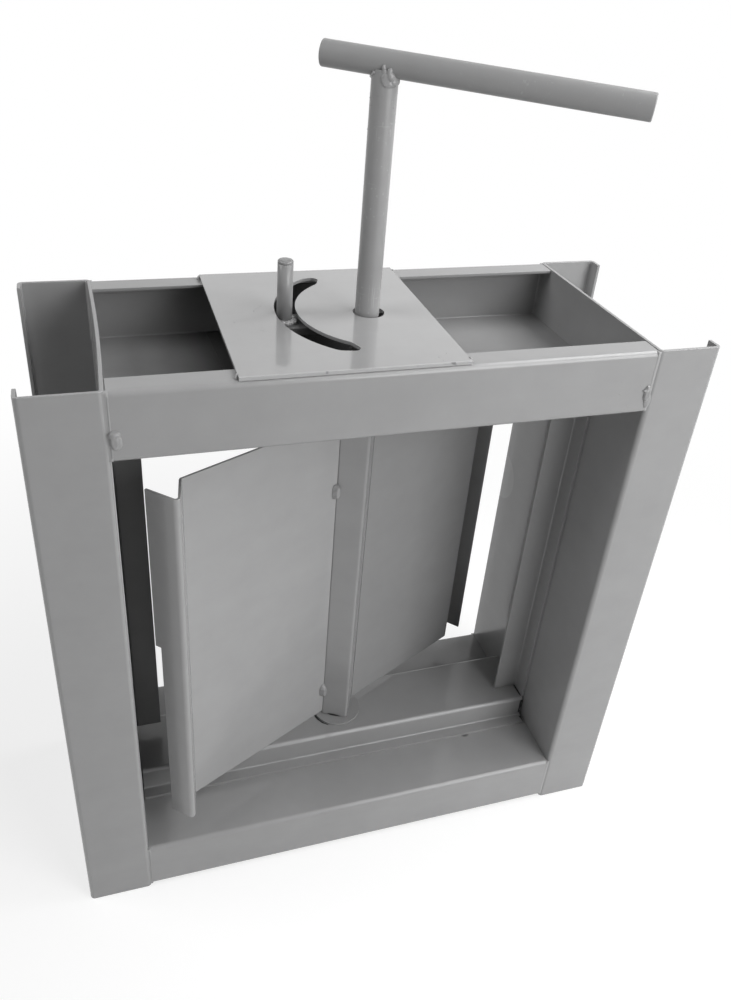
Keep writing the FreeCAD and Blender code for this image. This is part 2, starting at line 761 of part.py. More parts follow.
side_channel("left_side_channel", -1)
side_channel("right_side_channel", 1)
cross_channel("top_channel", HEAD, 1)
cross_channel("bottom_channel", SILL, -1)
hat_rail("bottom_rail", SILL, 1)
hat_rail("top_rail", HEAD, -1)
stop_angle("left_stop_angle", -1, "left_stop_leg", RAIL_TOP + " + left_stop_rise")
stop_angle("right_stop_angle", 1, "right_stop_leg", RAIL_TOP)
slotted_plate()
flanged_bush("lower_bush", RAIL_TOP, SILL + " - sheet")
flanged_bush("upper_bush", HEAD + " + sheet", TOP_RAIL_FACE)
shaft()
handle_bar()
crank_arm()
index_pin()
blade_tube()
step_back(leaf("left_leaf", "left", "blade_angle"))
leaf("right_leaf", "right", "blade_angle + 180")
weld_ring("crank_weld", "(shaft_diameter + 2 * crank_fit)", "ring_bead_leg",
          CRANK_FOOT, -1)
weld_ring("pin_weld", "pin_diameter", "pin_bead_leg", CRANK_TOP, 1,
          "crank_angle", "pin_radius")
weld_ring("tube_weld", "shaft_diameter", "tube_bead_leg", TUBE_HEAD, 1)
frame_welds()
plate_welds()
leaf_welds()
handle_weld()

doc.recompute()
for item in doc.Objects:
    if "Invalid" in item.State or "Error" in item.State:
        raise RuntimeError("%s failed: %s" % (item.Name, item.State))
os.makedirs("parts", exist_ok=True)
for piece in pieces:
    shape = piece.Shape
    if shape.isNull() or not shape.isValid() or not shape.Solids:
        raise RuntimeError("%s has no sound shape" % piece.Label)
for piece in pieces:
    piece.Shape.exportStep(os.path.join("parts", piece.Label + ".step"))
    print(piece.Label, len(piece.Shape.Solids), round(piece.Shape.Volume, 1))
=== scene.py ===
import math
import random

import bmesh
import bpy
from mathutils import Matrix, Vector, noise


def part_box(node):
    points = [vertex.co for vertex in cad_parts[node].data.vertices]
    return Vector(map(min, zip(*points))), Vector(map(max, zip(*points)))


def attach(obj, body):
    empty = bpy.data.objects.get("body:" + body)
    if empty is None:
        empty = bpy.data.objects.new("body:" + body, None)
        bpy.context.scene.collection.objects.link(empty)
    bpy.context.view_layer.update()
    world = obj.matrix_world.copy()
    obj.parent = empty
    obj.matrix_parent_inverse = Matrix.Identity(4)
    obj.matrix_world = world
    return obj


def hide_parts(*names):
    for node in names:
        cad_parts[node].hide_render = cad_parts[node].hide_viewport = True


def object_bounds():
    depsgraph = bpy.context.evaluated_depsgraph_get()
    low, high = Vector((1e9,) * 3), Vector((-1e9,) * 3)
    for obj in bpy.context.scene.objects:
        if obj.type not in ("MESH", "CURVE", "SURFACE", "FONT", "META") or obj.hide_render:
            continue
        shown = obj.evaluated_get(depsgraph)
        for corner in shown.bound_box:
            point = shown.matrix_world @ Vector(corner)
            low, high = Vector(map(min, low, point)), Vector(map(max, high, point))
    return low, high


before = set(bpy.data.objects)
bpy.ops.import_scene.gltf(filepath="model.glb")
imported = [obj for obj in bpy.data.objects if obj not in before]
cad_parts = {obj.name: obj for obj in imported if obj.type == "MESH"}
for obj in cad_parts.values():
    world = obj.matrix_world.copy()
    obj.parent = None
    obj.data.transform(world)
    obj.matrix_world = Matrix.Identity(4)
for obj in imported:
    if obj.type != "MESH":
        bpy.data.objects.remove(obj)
cad_low, cad_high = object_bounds()
scene = bpy.context.scene
scene.view_settings.view_transform = "Standard"


# The viewer stands in front of the left upright and looks down into the frame
# from a little above the handle, with a slight tilt of the hand.
camera_data = bpy.data.cameras.new("viewer")
camera_data.sensor_width = 36
camera_data.lens = 31.596
camera_data.shift_x = 0.00461
camera_data.shift_y = -0.03181
camera_data.clip_start = 0.01
camera = bpy.data.objects.new("viewer", camera_data)
look = Vector((0.28452, 0.79772, -0.53168)).to_track_quat("-Z", "Y").to_matrix()
tilt = Matrix.Rotation(math.radians(4.721), 3, "Z")
stand = Matrix.Translation((-0.156266, -0.450137, 0.579552))
camera.matrix_world = stand @ (look @ tilt).to_4x4()
scene.collection.objects.link(camera)
scene.camera = camera


# Studio light: a soft box low at the front right that lights the faces towards
# the viewer, two above the right side, and a broad one high at the left. All
# of them point at the middle of the blade.
blade_middle = Vector((0, 0, 0.2))


def lamp(name, place, side, watts):
    data = bpy.data.lights.new(name, "AREA")
    data.shape = "SQUARE"
    data.size = side
    data.energy = watts
    holder = bpy.data.objects.new(name, data)
    holder.location = place
    aim = blade_middle - Vector(place)
    holder.rotation_euler = aim.to_track_quat("-Z", "Y").to_euler()
    scene.collection.objects.link(holder)


lamp("front_light", (0.47, -0.81, 0.54), 0.6, 5.2)
lamp("corner_light", (0.455, -0.455, 0.966), 0.6, 2.4)
lamp("side_light", (0.643, 0, 0.966), 0.6, 5.5)
lamp("left_light", (-1.5, 0.1, 1.7), 1.2, 17)


# The room is white. It lights the damper softly, and shows as plain white to
# the viewer and in the paint's gloss.
room_light, room_white = 0.02, 1.0
world = bpy.data.worlds.new("white_room")
scene.world = world
world.use_nodes = True
sky = world.node_tree
sky.nodes.clear()
rays = sky.nodes.new("ShaderNodeLightPath")
seen = sky.nodes.new("ShaderNodeMath")
seen.operation = "MAXIMUM"
sky.links.new(rays.outputs["Is Camera Ray"], seen.inputs[0])
sky.links.new(rays.outputs["Is Glossy Ray"], seen.inputs[1])
either = sky.nodes.new("ShaderNodeMixShader")
sky.links.new(seen.outputs[0], either.inputs[0])
for slot, strength in ((1, room_light), (2, room_white)):
    ground = sky.nodes.new("ShaderNodeBackground")
    ground.inputs["Color"].default_value = (1, 1, 1, 1)
    ground.inputs["Strength"].default_value = strength
    sky.links.new(ground.outputs[0], either.inputs[slot])
sky_end = sky.nodes.new("ShaderNodeOutputWorld")
sky.links.new(either.outputs[0], sky_end.inputs["Surface"])


# The floor is pale board. It holds the soft shadow round the frame's feet and
# runs out to white. Its finish is written as sums of wires: a Wire is one
# socket, and a Coat is one material that makes the nodes behind them.
class Wire:
    def __init__(self, coat, socket):
        self.coat = coat
        self.socket = socket

    def out(self, name):
        return Wire(self.coat, self.socket.node.outputs[name])

    def math(self, operation, *values):
        settings = {"operation": operation}
        return self.coat.node("ShaderNodeMath", settings, dict(enumerate(values)))

    def __add__(self, other):
        return self.math("ADD", self, other)

    def __sub__(self, other):
        return self.math("SUBTRACT", self, other)

    def __rsub__(self, other):
        return self.math("SUBTRACT", other, self)

    def __mul__(self, other):
        return self.math("MULTIPLY", self, other)

    __radd__ = __add__
    __rmul__ = __mul__

    def size(self):
        """The value without its sign."""
        return self.math("ABSOLUTE", self)

    def step(self, low, high):
        """0 below low and 1 above high, eased; low may be the larger one."""
        return self.coat.node(
            "ShaderNodeMapRange",
            {"interpolation_type": "SMOOTHSTEP"},
            {"Value": self, "From Min": low, "From Max": high},
        )


class Coat:
    def __init__(self, name):
        self.material = bpy.data.materials.new(name)
        self.material.use_nodes = True
        self.tree = self.material.node_tree
        self.tree.nodes.clear()
        self.place = self.node("ShaderNodeTexCoord").out("Object")

    def node(self, kind, settings=None, sockets=None):
        made = self.tree.nodes.new(kind)
        for key, value in (settings or {}).items():
            setattr(made, key, value)
        for key, value in (sockets or {}).items():
            if isinstance(value, Wire):
                self.tree.links.new(value.socket, made.inputs[key])
            else:
                made.inputs[key].default_value = value
        outputs = [output for output in made.outputs if output.enabled]
        return Wire(self, outputs[0]) if outputs else None

    def axes(self):
        """The X, Y and Z of the place."""
        parts = self.node("ShaderNodeSeparateXYZ", None, {0: self.place})
        return parts.out("X"), parts.out("Y"), parts.out("Z")

    def noise(self, scale, detail, place=None):
        """Soft noise from 0 to 1; scale is in grains per metre."""
        return self.node(
            "ShaderNodeTexNoise",
            None,
            {"Vector": place or self.place, "Scale": scale, "Detail": detail},
        )

    def grain(self, stretch, turn):
        """The place, squeezed along each axis for drawn-out patterns."""
        return self.node(
            "ShaderNodeMapping",
            {"vector_type": "POINT"},
            {"Vector": self.place, "Rotation": turn, "Scale": stretch},
        )

    def blend(self, amount, first, second):
        """Two colours mixed; a colour Mix node has them on sockets 6 and 7."""
        sockets = {"Factor": amount, 6: first, 7: second}
        return self.node("ShaderNodeMix", {"data_type": "RGBA"}, sockets)

    def bump(self, height, strength, distance, before=None):
        sockets = {"Height": height, "Strength": strength, "Distance": distance}
        if before:
            sockets["Normal"] = before
        return self.node("ShaderNodeBump", None, sockets)

    def near(self, centre, radius, edge, stretch):
        """1 inside a stretched ball about the centre, with a soft edge."""
        moved = self.node(
            "ShaderNodeMapping",
            {"vector_type": "POINT"},
            {
                "Vector": self.place,
                "Location": tuple(-c * s for c, s in zip(centre, stretch)),
                "Scale": stretch,
            },
        )
        far = self.node("ShaderNodeVectorMath", {"operation": "LENGTH"}, {0: moved})
        return far.out("Value").step(radius + edge, radius - edge)

    def surface(self, shader):
        self.node("ShaderNodeOutputMaterial", None, {"Surface": shader})
        return self.material


def grey(level, tint=0.0):
    """A neutral colour; a positive tint makes it a little cooler."""
    return (level, level, level * (1 + tint), 1)


def mesh_of(bm, name):
    mesh = bpy.data.meshes.new(name)
    bm.to_mesh(mesh)
    bm.free()
    return mesh


shade_ends, white_starts = 0.27, 0.75
board_reach, board_drop = 20, 0.0002
coat = Coat("floor_board")
rays = coat.node("ShaderNodeLightPath")
shown = rays.out("Is Camera Ray") + rays.out("Is Glossy Ray")
shown = shown + rays.out("Is Transmission Ray")
away = coat.node("ShaderNodeVectorMath", {"operation": "LENGTH"}, {0: coat.place})
run_out = away.out("Value").step(shade_ends, white_starts)
board = coat.node("ShaderNodeBsdfDiffuse", None, {"Color": grey(0.36)})
glow = coat.node("ShaderNodeEmission", None, {"Color": grey(1), "Strength": 0.70})
white = coat.node("ShaderNodeEmission", None, {"Color": grey(1), "Strength": 1.0})
near = coat.node("ShaderNodeAddShader", None, {0: board, 1: glow})
looked_at = coat.node("ShaderNodeMixShader", None, {0: run_out, 1: near, 2: white})
lit = coat.node("ShaderNodeBsdfDiffuse", None, {"Color": grey(0.8)})
either = coat.node("ShaderNodeMixShader", None, {0: shown, 1: lit, 2: looked_at})
bm = bmesh.new()
bmesh.ops.create_grid(bm, x_segments=4, y_segments=4, size=board_reach)
bmesh.ops.translate(bm, verts=bm.verts, vec=(0, 0, -board_drop))
floor_mesh = mesh_of(bm, "floor_board")
floor_mesh.materials.append(coat.surface(either))
floor = bpy.data.objects.new("floor_board", floor_mesh)
scene.collection.objects.link(floor)


# Folded sheet. The damper is 2 mm steel, folded and welded up, and sprayed
# with one grey enamel: a smooth film with a faint orange peel, some clouds
# and wipe marks, and hair scratches from handling. Some pieces take a lighter
# copy of it as painted light, and some a darker copy as painted shade.
def enamel(name, tone, gloss, lacquer=0.25, scratch=0.0, marks=None):
    """marks adds a piece's own marks: the tone's level, and where it is painted near black, as
    painted shade or a dark mark.
    The roughness keeps clear of 0.27 on every piece, because the denoiser
    treats a surface on either side of that differently, and leaves an edge."""
    coat = Coat(name)
    cloud = coat.noise(14, 3) - 0.5
    mottle = coat.noise(75, 4) - 0.5
    wiped = coat.noise(1, 3, coat.grain((9, 9, 55), (0.3, 0.5, 0.2))) - 0.5
    level = cloud * 0.35 + mottle * 0.25 + wiped * 0.25 + 0.5
    rough = cloud * 0.04 + mottle * 0.02 + gloss
    if scratch:
        down = coat.noise(1, 1, coat.grain((1500, 1500, 45), (0.25, 0.1, 0)))
        round_it = coat.noise(1, 1, coat.grain((60, 60, 1900), (0.3, 0.2, 0)))
        lighter_patches = coat.noise(40, 2).step(0.48, 0.62)
        lines = (down.step(0.66, 0.72) + round_it.step(0.68, 0.74)) * lighter_patches
        nicks = coat.noise(420, 1).step(0.68, 0.74) * lighter_patches
        level = level + (lines * 0.5 + nicks * 1.2) * scratch
    bare = None
    if marks:
        level, bare = marks(coat, level)
    colour = coat.blend(level, grey(tone * 0.82), grey(tone * 1.18, 0.008))
    # The near-black colour here is painted shade, or a dark mark, where a piece's marks ask
    # for it.
    if bare:
        colour = coat.blend(bare, colour, grey(0.03))
    waves = coat.bump(coat.noise(20, 2), 0.30, 0.0010)
    orange_peel = coat.bump(coat.noise(650, 2), 0.05, 0.0003, waves)
    shader = coat.node(
        "ShaderNodeBsdfPrincipled",
        None,
        {
            "Base Color": colour,
            "Roughness": rough,
            "Normal": orange_peel,
            "IOR": 1.5,
            "Specular IOR Level": 0.4,
            "Coat Weight": lacquer,
            "Coat Roughness": 0.07,
        },
    )
    return coat.surface(shader)


# Every folded or sawn piece keeps its CAD shape. Its loose triangles are
# joined, flat faces become one again, and the edges get the small rounding
# that paint gives them.
same_spot, same_plane = 0.00002, math.radians(0.5)
joined = bpy.data.node_groups.new("joined_sheet", "GeometryNodeTree")
for way in ("INPUT", "OUTPUT"):
    joined.interface.new_socket("Geometry", in_out=way, socket_type="NodeSocketGeometry")
start = joined.nodes.new("NodeGroupInput")
unmarked = joined.nodes.new("GeometryNodeRemoveAttribute")
unmarked.inputs["Name"].default_value = "custom_normal"
merge = joined.nodes.new("GeometryNodeMergeByDistance")
merge.inputs["Distance"].default_value = same_spot
smooth = joined.nodes.new("GeometryNodeSetShadeSmooth")
end = joined.nodes.new("NodeGroupOutput")
for before, after in ((start, unmarked), (unmarked, merge), (merge, smooth), (smooth, end)):
    joined.links.new(before.outputs[0], after.inputs[0])


def finish_sheet(piece, edge=0.0003, flat=True):
    piece.modifiers.new("joined", "NODES").node_group = joined
    if flat:
        flats = piece.modifiers.new("flats", "DECIMATE")
        flats.decimate_type = "DISSOLVE"
        flats.angle_limit = same_plane
    rounding = piece.modifiers.new("rounding", "BEVEL")
    rounding.width = edge
    rounding.segments = 2
    rounding.limit_method = "ANGLE"
    rounding.angle_limit = math.radians(34)
    rounding.use_clamp_overlap = True
    shading = piece.modifiers.new("shading", "WEIGHTED_NORMAL")
    shading.keep_sharp = True


def dress(names, finish, edge=0.0003):
    for name in names:
        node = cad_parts[name]
        for slot in node.material_slots:
            slot.material = finish
        finish_sheet(node, edge)


# The uprights are channels folded from that sheet, flanges outwards. On the
# right one's web a washer once masked the paint and left a pale disc.
def upright_marks(coat, level):
    disc = coat.near((0.150, 0.0729, 0.2117), 0.0195, 0.0008, (14, 1, 1))
    return level + disc * 0.55, None


upright_enamel = enamel("upright_enamel", 0.33, 0.24, marks=upright_marks)
dress(["right_side_channel"], upright_enamel)


# The left upright was pushed out of true when the frame was welded: above the
# top channel its web bows into the trough, and its front corner leans out.
MM = 0.001
web_bow, corner_lean, frame_depth = 1.2, 0.7, 147


def pushed(height):
    """0 up to the top channel and 1 at the upright's top, eased; in mm."""
    rise = min(max((height - 350) / 35, 0), 1)
    return rise * rise * (3 - 2 * rise)


def add_piece(name, mesh, finish, body, replaced=None):
    mesh.name = name
    mesh.materials.clear()
    mesh.materials.append(finish)
    piece = bpy.data.objects.new(name, mesh)
    scene.collection.objects.link(piece)
    if replaced:
        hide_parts(replaced)
    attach(piece, body)
    return piece


bm = bmesh.new()
bm.from_mesh(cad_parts["left_side_channel"].data)
bmesh.ops.remove_doubles(bm, verts=bm.verts, dist=same_spot)
bmesh.ops.dissolve_limit(bm, angle_limit=same_plane, verts=bm.verts, edges=bm.edges)
cuts = [((0, MM * y, 0), (0, 1, 0)) for y in range(-63, 64, 9)]
cuts += [((0, 0, MM * z), (0, 0, 1)) for z in range(351, 384, 4)]
for place, way in cuts:
    every = bm.verts[:] + bm.edges[:] + bm.faces[:]
    bmesh.ops.bisect_plane(bm, geom=every, plane_co=place, plane_no=way)
for vert in bm.verts:
    on_web = min(max((vert.co.x / MM + 162) / 9, 0), 1)
    across = vert.co.y / MM / frame_depth
    bow = web_bow * math.cos(math.pi * across) - corner_lean * (0.5 - across)
    vert.co.x += MM * bow * on_web * pushed(vert.co.z / MM)
bowed = mesh_of(bm, "left_upright_bowed")
upright = add_piece(
    "left_upright_bowed", bowed, upright_enamel, "frame", "left_side_channel"
)
finish_sheet(upright, flat=False)


# The top and bottom channels are folded from the same sheet and fitted
# between the uprights, the top one open upwards.
def channel_marks(coat, level):
    """A small dark spot at a dent, and painted shade, near black, in the trough where the
    plate covers it."""
    dent = coat.near((0.0972, -0.0335, 0.0406), 0.0016, 0.0008, (0.6, 1, 1))
    # Painted shade: the trough under the plate is coloured near black.
    x, y, z = coat.axes()
    along = x.step(-0.118, -0.074) * x.step(0.040, 0.012)
    across = y.step(-0.0720, -0.0710) * y.step(0.0720, 0.0710)
    above = z.step(0.3476, 0.3480) * z.step(0.3838, 0.3832)
    return level, dent * 0.7 + along * across * above


channel_enamel = enamel("channel_enamel", 0.33, 0.24, marks=channel_marks)
dress(["top_channel", "bottom_channel"], channel_enamel)


# The flanges of the cross channels butt on the uprights' rounded corners. The
# groove between them is filled with weld, ground down and painted over.
# Its enamel is a shade lighter than the sheet's: a painted highlight along the filled corners.
lightened_seam_enamel = enamel("lightened_seam_enamel", 0.36, 0.24)
seam_step = 0.9


def loft(bm, rings):
    """Rings of points joined to a closed skin with flat ends."""
    count = len(rings[0])
    for low, high in zip(rings, rings[1:]):
        for i in range(count):
            bm.faces.new((low[i], low[(i + 1) % count], high[(i + 1) % count], high[i]))
    bm.faces.new(rings[0][::-1])
    bm.faces.new(rings[-1])


def run_seam(bm, side, face, foot, head, dice):
    """One groove's weld, in mm, with its uneven edge on the channel."""
    steps = int((head - foot) / seam_step)
    wander, sink, rings = 0.0, 0.0, []
    for i in range(steps + 1):
        height = foot + (head - foot) * i / steps
        lean = corner_lean * pushed(height) if side < 0 and face < 0 else 0
        wander = min(max(wander + dice.uniform(-0.12, 0.12), -0.35), 0.35)
        sink = min(max(sink + dice.uniform(-0.05, 0.05), -0.12), 0.12)
        row = [(153.3 + lean, 72.5), (152.3 + lean, 73.3), (151.3 + lean, 72.98)]
        row += [(150.3, 73.1 + sink), (149.2 + wander, 73.56)]
        row += [(149.0, 71.0), (153.3 + lean, 71.0)]
        places = [(side * x * MM, face * y * MM, height * MM) for x, y in row]
        rings.append([bm.verts.new(place) for place in places])
    loft(bm, rings)


dice = random.Random(5)
bm = bmesh.new()
for side in (-1, 1):
    for face in (-1, 1):
        for foot, head in ((2.2, 40.3), (347.2, 384.9)):
            run_seam(bm, side, face, foot, head, dice)
bmesh.ops.recalc_face_normals(bm, faces=bm.faces)
for face in bm.faces:
    face.smooth = len(face.verts) == 4
seam_mesh = mesh_of(bm, "corner_seams")
add_piece("corner_seams", seam_mesh, lightened_seam_enamel, "frame")


# Hat-shaped rails under and over the blade carry the shaft's bushes. Along
# their long bends an uneven lighter line is painted on: a painted highlight.
rail_front, rail_top, rail_foot = -0.0247, 0.0597, 0.0420


def rail_marks(coat, level):
    _, y, z = coat.axes()
    wobble = (coat.noise(90, 2) - 0.5) * 0.0012
    on_front = (y - rail_front + wobble).size().step(0.0016, 0.0006)
    ridge = (z - rail_top + wobble).size().step(0.0016, 0.0005)
    heel = (z - rail_foot + wobble).size().step(0.0012, 0.0004)
    # Painted highlight along the top front edge and the heel.
    painted_highlight = on_front * (ridge * 1.3 + heel * 0.9) * coat.noise(60, 2).step(0.25, 0.5)
    return level + painted_highlight, None


dress(["bottom_rail", "top_rail"], enamel("rail_enamel", 0.32, 0.31, marks=rail_marks))


# The stop angles are welded to the uprights for the blade's lips to close on.
# The left one's enamel is painted much darker and duller: painted shade for
# the shadow it stands in.
dress(["right_stop_angle"], enamel("right_stop_enamel", 0.31, 0.31, 0.1))
dress(["left_stop_angle"], enamel("left_stop_shaded_enamel", 0.22, 0.38, 0.0))


# Where pieces were only set against each other the paint has torn open, and
# the joint shows as a dark uneven line: a near-black sliver that lies on the
# sheet, partly the torn joint's own dark and partly painted shade of the open gap.
coat = Coat("shaded_gap_sliver")
dark = coat.blend(coat.noise(300, 3), grey(0.008), grey(0.03))
dull = {"Base Color": dark, "Roughness": 0.9}
gap_shade_dark = coat.surface(coat.node("ShaderNodeBsdfPrincipled", None, dull))
sliver_thick = 0.12


def shaded_gap_sliver(name, body, line, out, seed):
    """line holds places and widths in mm; out is the way off the sheet."""
    dice = random.Random(seed)
    out = Vector(out)
    bm = bmesh.new()
    rings = []
    for i, (place, width) in enumerate(line):
        here = Vector(place)
        before, after = line[max(i - 1, 0)][0], line[min(i + 1, len(line) - 1)][0]
        way = (Vector(after) - Vector(before)).normalized()
        side = way.cross(out).normalized()
        left = here + side * width * dice.uniform(0.35, 0.65)
        right = here - side * width * dice.uniform(0.35, 0.65)
        corners = [left, right, right + out * sliver_thick, left + out * sliver_thick]
        rings.append([bm.verts.new(corner * MM) for corner in corners])
    loft(bm, rings)
    bmesh.ops.recalc_face_normals(bm, faces=bm.faces)
    add_piece(name, mesh_of(bm, name), gap_shade_dark, body)


rail_z, foot_z, front_y = 60.6, 42.6, -25
over_rail = [((147.6, -3.0, rail_z), 0.4), ((147.3, -8.0, rail_z), 1.6)]
over_rail += [((147.7, -13.0, rail_z), 2.0), ((147.3, -18.0, rail_z), 1.5)]
over_rail += [((147.8, -22.4, rail_z), 1.8)]
down_rail = [((147.7, front_y, 58.2), 1.7), ((147.2, front_y, 55.0), 1.2)]
down_rail += [((147.6, front_y, 51.5), 1.8), ((147.1, front_y, 48.0), 1.2)]
down_rail += [((147.6, front_y, 44.8), 1.6)]
over_foot = [((147.6, -27.6, foot_z), 1.6), ((147.9, -30.5, foot_z), 1.3)]
over_foot += [((147.6, -33.0, foot_z), 0.8)]
shaded_gap_sliver("rail_top_gap_shade", "frame", over_rail, (0, 0, 1), 3)
shaded_gap_sliver("rail_front_gap_shade", "frame", down_rail, (0, -1, 0), 5)
shaded_gap_sliver("rail_foot_gap_shade", "frame", over_foot, (0, 0, 1), 6)
# Painted shade of the gap under the bush's flange, as a dark sliver round its front.
bush_edge, bush_arc = 18.3, []
for i in range(13):
    a = math.radians(184 + 52 * i / 12)
    width = 0.25 + 1.1 * math.sin(math.pi * i / 12)
    bush_arc.append(((bush_edge * math.cos(a), bush_edge * math.sin(a), rail_z), width))
shaded_gap_sliver("bush_gap_shade", "frame", bush_arc, (0, 0, 1), 4)


# The plate over the top channel is cut by hand. It lies flat to the light,
# and its enamel is the smoothest on the damper; its tone is a shade lighter
# than the sheet's, painted light on its top. Along its front cut an uneven
# lighter line is a painted highlight, and dark broken patches are painted
# shade of the gap under the cut.
plate_front = -0.0720


def plate_marks(coat, level):
    in_from_cut = coat.axes()[1] - plate_front
    wobble = (coat.noise(130, 2) - 0.5) * 0.0010
    lighter_patches = (in_from_cut + wobble).step(0.0013, 0.0004) * coat.noise(70, 2).step(0.30, 0.45)
    shade_at_cut = in_from_cut.step(0.0007, 0.0003) * coat.noise(110, 2).step(0.60, 0.68)
    return level + lighter_patches * 1.1, shade_at_cut * 0.6


dress(["slotted_plate"], enamel("lit_plate_enamel", 0.36, 0.18, 0.8, marks=plate_marks))


# The flanged bushes are turned from bar, pressed in and painted over.
dress(["lower_bush", "upper_bush"], enamel("bush_enamel", 0.30, 0.35, 0.1))


# Shaft and handle are plain round bar. The paint is thin and dull on them and
# shows bright nicks and scratches where the bar was gripped.
dress(["shaft"], enamel("bar_enamel", 0.32, 0.40, 0.1, 1.6), 0.0004)
dress(["handle_bar"], enamel("handle_enamel", 0.30, 0.45, 0.0, 0.35), 0.0006)


# The crank is flat bar on the shaft under the plate. Its enamel is painted
# near black: painted shade for the dark under the plate that shows through the slot.
dress(["crank_arm"], enamel("crank_shaded_enamel", 0.13, 0.45, 0.0))


# The pin on it rises through the slot and points at the blade's position. It
# is turned: domed at the top, with a fine groove under the dome.
pin_low, pin_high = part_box("index_pin")
pin_x, pin_y = (pin_low[0] + pin_high[0]) / 2, (pin_low[1] + pin_high[1]) / 2
pin_r, pin_top = (pin_high[0] - pin_low[0]) / 2, pin_high[2] + 0.0009
outline = [(pin_r, pin_low[2]), (pin_r, pin_top - 0.0024)]
outline += [(pin_r - 0.0002, pin_top - 0.0023), (pin_r - 0.0002, pin_top - 0.0021)]
outline += [(pin_r, pin_top - 0.0020), (pin_r, pin_top - 0.0013)]
outline += [(pin_r - 0.00015, pin_top - 0.0008), (pin_r - 0.0006, pin_top - 0.0004)]
outline += [(pin_r - 0.0014, pin_top - 0.0001), (pin_r - 0.0025, pin_top)]
bm = bmesh.new()
spots = [2 * math.pi * i / 56 for i in range(56)]
rings = []
for radius, height in outline:
    round_it = [(pin_x + radius * math.cos(a), pin_y + radius * math.sin(a)) for a in spots]
    rings.append([bm.verts.new((x, y, height)) for x, y in round_it])
loft(bm, rings)
for face in bm.faces:
    face.smooth = len(face.verts) == 4
pin_enamel = enamel("pin_enamel", 0.28, 0.34, 0.2, 0.6)
pin_mesh = mesh_of(bm, "turned_pin")
add_piece("turned_pin", pin_mesh, pin_enamel, "blade", "index_pin")


# The blade: a square tube round the shaft with a leaf of thinner sheet on
# each side, folded over at its edge into a V-shaped lip. The tube's saw cut
# is not square and leaves a gap at its foot.
dress(["blade_tube"], enamel("tube_enamel", 0.31, 0.24))
# The left leaf's enamel is painted a little lighter and the right leaf's darker: painted light
# and painted shade, one enamel in a lit and a shaded copy.
dress(["left_leaf"], enamel("leaf_enamel", 0.35, 0.24, 0.2), 0.0002)
dress(["right_leaf"], enamel("shaded_leaf_enamel", 0.31, 0.24, 0.1), 0.0002)
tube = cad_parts["blade_tube"]
low = min(v.co.z for v in tube.data.vertices)
foot = [v.co / MM for v in tube.data.vertices if v.co.z < low + same_spot / 2]
front = min(foot, key=lambda spot: spot.y)
side = min(foot, key=lambda spot: spot.x)
face_way = Vector((front.y - side.y, side.x - front.x, 0)).normalized()
out_by = max((spot - side).dot(face_way) for spot in foot)
# The gap's shade is painted on a near-black sliver along the foot: painted shade.
saw_cut = []
for share, width in ((0.28, 0.3), (0.40, 1.4), (0.54, 1.7), (0.68, 1.3), (0.80, 0.3)):
    place = side.lerp(front, share) + face_way * out_by
    saw_cut.append(((place.x, place.y, low / MM + 0.9), width))
shaded_gap_sliver("tube_foot_gap_shade", "blade", saw_cut, face_way, 7)


# Welds, laid by hand and painted over. Each bead fills the place of its CAD
# form, drawn together into a rounded drop with ripples and grains.
weld_enamel = enamel("weld_enamel", 0.30, 0.31, 0.4)


def lay_weld(name, body, seed, drops=(), bare=False, grain=0.00028, swell=0.0003, rounds=5):
    """The weld's CAD solids, or none of them where bare, and its own drops.
    What stands past the frame's rear face is ground flush."""
    bm = bmesh.new()
    if not bare:
        bm.from_mesh(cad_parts[name].data)
        bmesh.ops.remove_doubles(bm, verts=bm.verts, dist=same_spot)
    for place, radii in drops:
        put = Matrix.Translation([MM * n for n in place])
        put = put @ Matrix.Diagonal([MM * n for n in radii] + [1])
        bmesh.ops.create_icosphere(bm, subdivisions=3, radius=1, matrix=put)
    holder = bpy.data.objects.new(name + "_drops", mesh_of(bm, name + "_drops"))
    scene.collection.objects.link(holder)
    skin = holder.modifiers.new("skin", "REMESH")
    skin.mode = "VOXEL"
    skin.voxel_size = grain
    deps = bpy.context.evaluated_depsgraph_get()
    laid = bpy.data.meshes.new_from_object(holder.evaluated_get(deps))
    bpy.data.objects.remove(holder)
    bm = bmesh.new()
    bm.from_mesh(laid)
    every_way = {"use_axis_x": True, "use_axis_y": True, "use_axis_z": True}
    for _ in range(rounds):
        bmesh.ops.smooth_vert(bm, verts=bm.verts, factor=0.5, **every_way)
    bm.normal_update()
    shift = Vector((seed * 7.1, seed * 3.7, seed * 1.3))
    moves = []
    for vert in bm.verts:
        coarse = noise.noise(vert.co * 420 + shift)
        fine = noise.noise(vert.co * 1300 + shift)
        moves.append(vert.normal * (swell * (0.75 * coarse + 0.3 * fine + 0.25)))
    for vert, move in zip(bm.verts, moves):
        vert.co += move
        vert.co.y = min(vert.co.y, cad_high[1])
    for face in bm.faces:
        face.smooth = True
    bm.to_mesh(laid)
    bm.free()
    add_piece(name + "_bead", laid, weld_enamel, body, name)


# The frame's beads sit on the corner joints of the top channel: a round drop
# with a tail at the left, a short ridge and a flat run at the right.
corner_drops = [((-147.8, -73.8, 362.3), (3.0, 1.7, 1.9))]
corner_drops += [((-146.9, -73.6, 357.8), (2.7, 1.1, 4.4))]
corner_drops += [((147.0, -73.8, 361.2), (2.4, 1.4, 1.0))]
corner_drops += [((149.4, -73.5, 354.5), (2.2, 1.0, 5.0))]
lay_weld("frame_welds", "frame", 1, corner_drops, rounds=4)
lay_weld("plate_welds", "frame", 2, swell=0.0002)
lay_weld("leaf_welds", "blade", 3, rounds=3)


